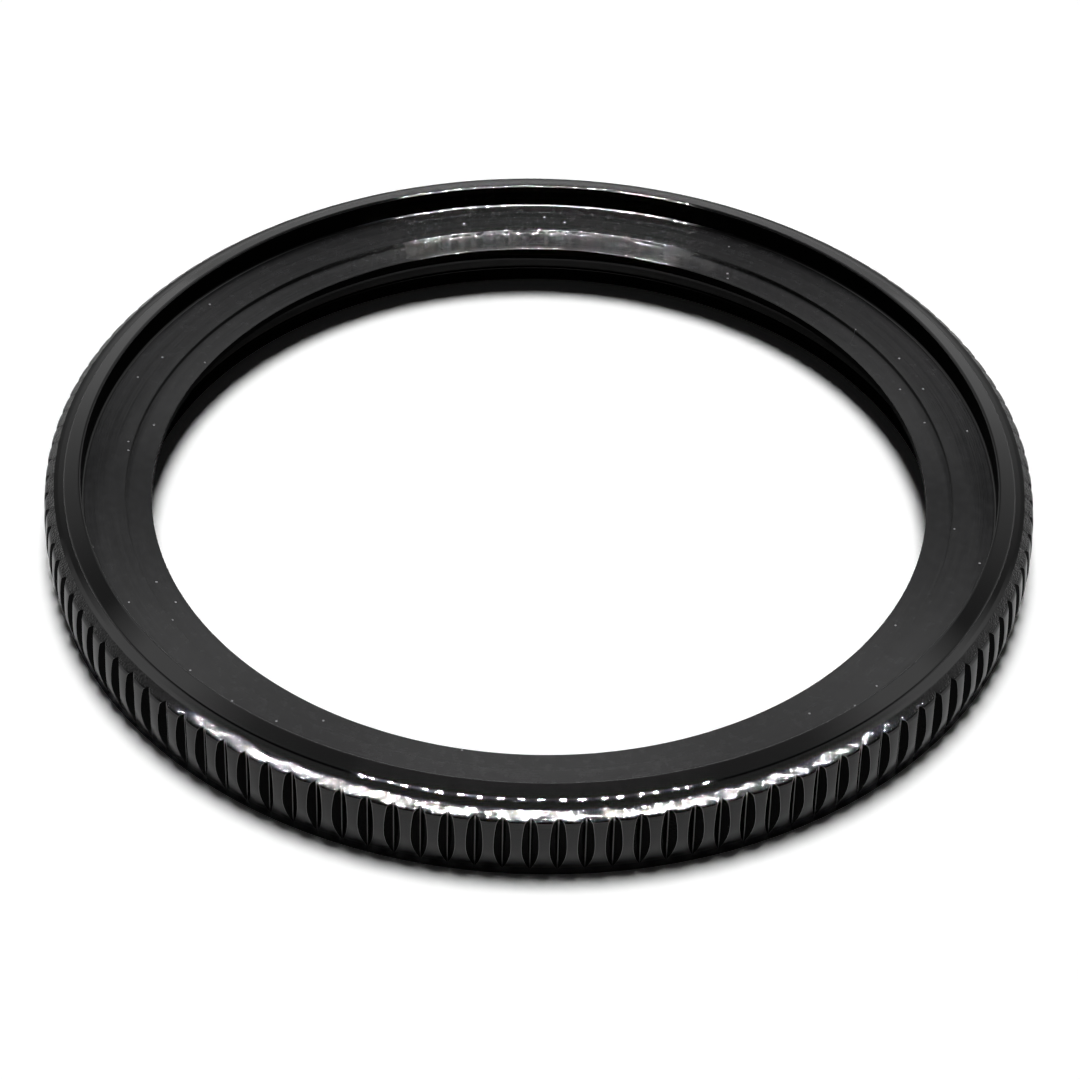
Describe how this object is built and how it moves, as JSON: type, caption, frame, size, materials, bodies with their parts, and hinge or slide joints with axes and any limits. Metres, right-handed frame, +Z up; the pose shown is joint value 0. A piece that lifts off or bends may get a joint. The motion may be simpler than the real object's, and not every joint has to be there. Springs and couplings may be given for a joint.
{
  "type": "rotating watch bezel",
  "caption": "Fluted rotating bezel ring for a dive watch, with an empty insert seat, a rubber gasket in its lower bore and a click spring with bent tongues under its ratchet teeth.",
  "frame": {"origin": "on the ring's axis, in the plane that the ring stands on", "axes": "+Z up along the ring's axis, out of the insert seat; one click tongue's tip is at +Y"},
  "size_m": [0.0412, 0.0412, 0.0037],
  "materials": {
    "black_coated_steel": "turned and polished, black coated",
    "black_rubber": "matt",
    "spring_steel": "rolled and stamped"
  },
  "bodies": {
    "case_side": {"click_spring": "spring_steel"},
    "ring": {"bezel_ring": "black_coated_steel", "bezel_gasket": "black_rubber"},
    "tongue_1": {"click_tongue_1": "spring_steel"},
    "tongue_2": {"click_tongue_2": "spring_steel"},
    "tongue_3": {"click_tongue_3": "spring_steel"}
  },
  "joints": [
    {"name": "bezel_turn", "type": "hinge", "parent": "case_side", "child": "ring", "pos_m": [0, 0, 0], "axis": [0, 0, 1], "continuous": true},
    {"name": "tongue_1_press", "type": "hinge", "parent": "case_side", "child": "tongue_1", "pos_m": [0.00521, 0.0183, 0.0001], "axis": [0, 1, 0], "range_deg": [-2.6, 0], "stiffness_Nm_per_rad": 0.039},
    {"name": "tongue_2_press", "type": "hinge", "parent": "case_side", "child": "tongue_2", "pos_m": [-0.01845, -0.00464, 0.0001], "axis": [-0.866, -0.5, 0], "range_deg": [-2.6, 0], "stiffness_Nm_per_rad": 0.039},
    {"name": "tongue_3_press", "type": "hinge", "parent": "case_side", "child": "tongue_3", "pos_m": [0.01324, -0.01366, 0.0001], "axis": [0.866, -0.5, 0], "range_deg": [-2.6, 0], "stiffness_Nm_per_rad": 0.039}
  ]
}
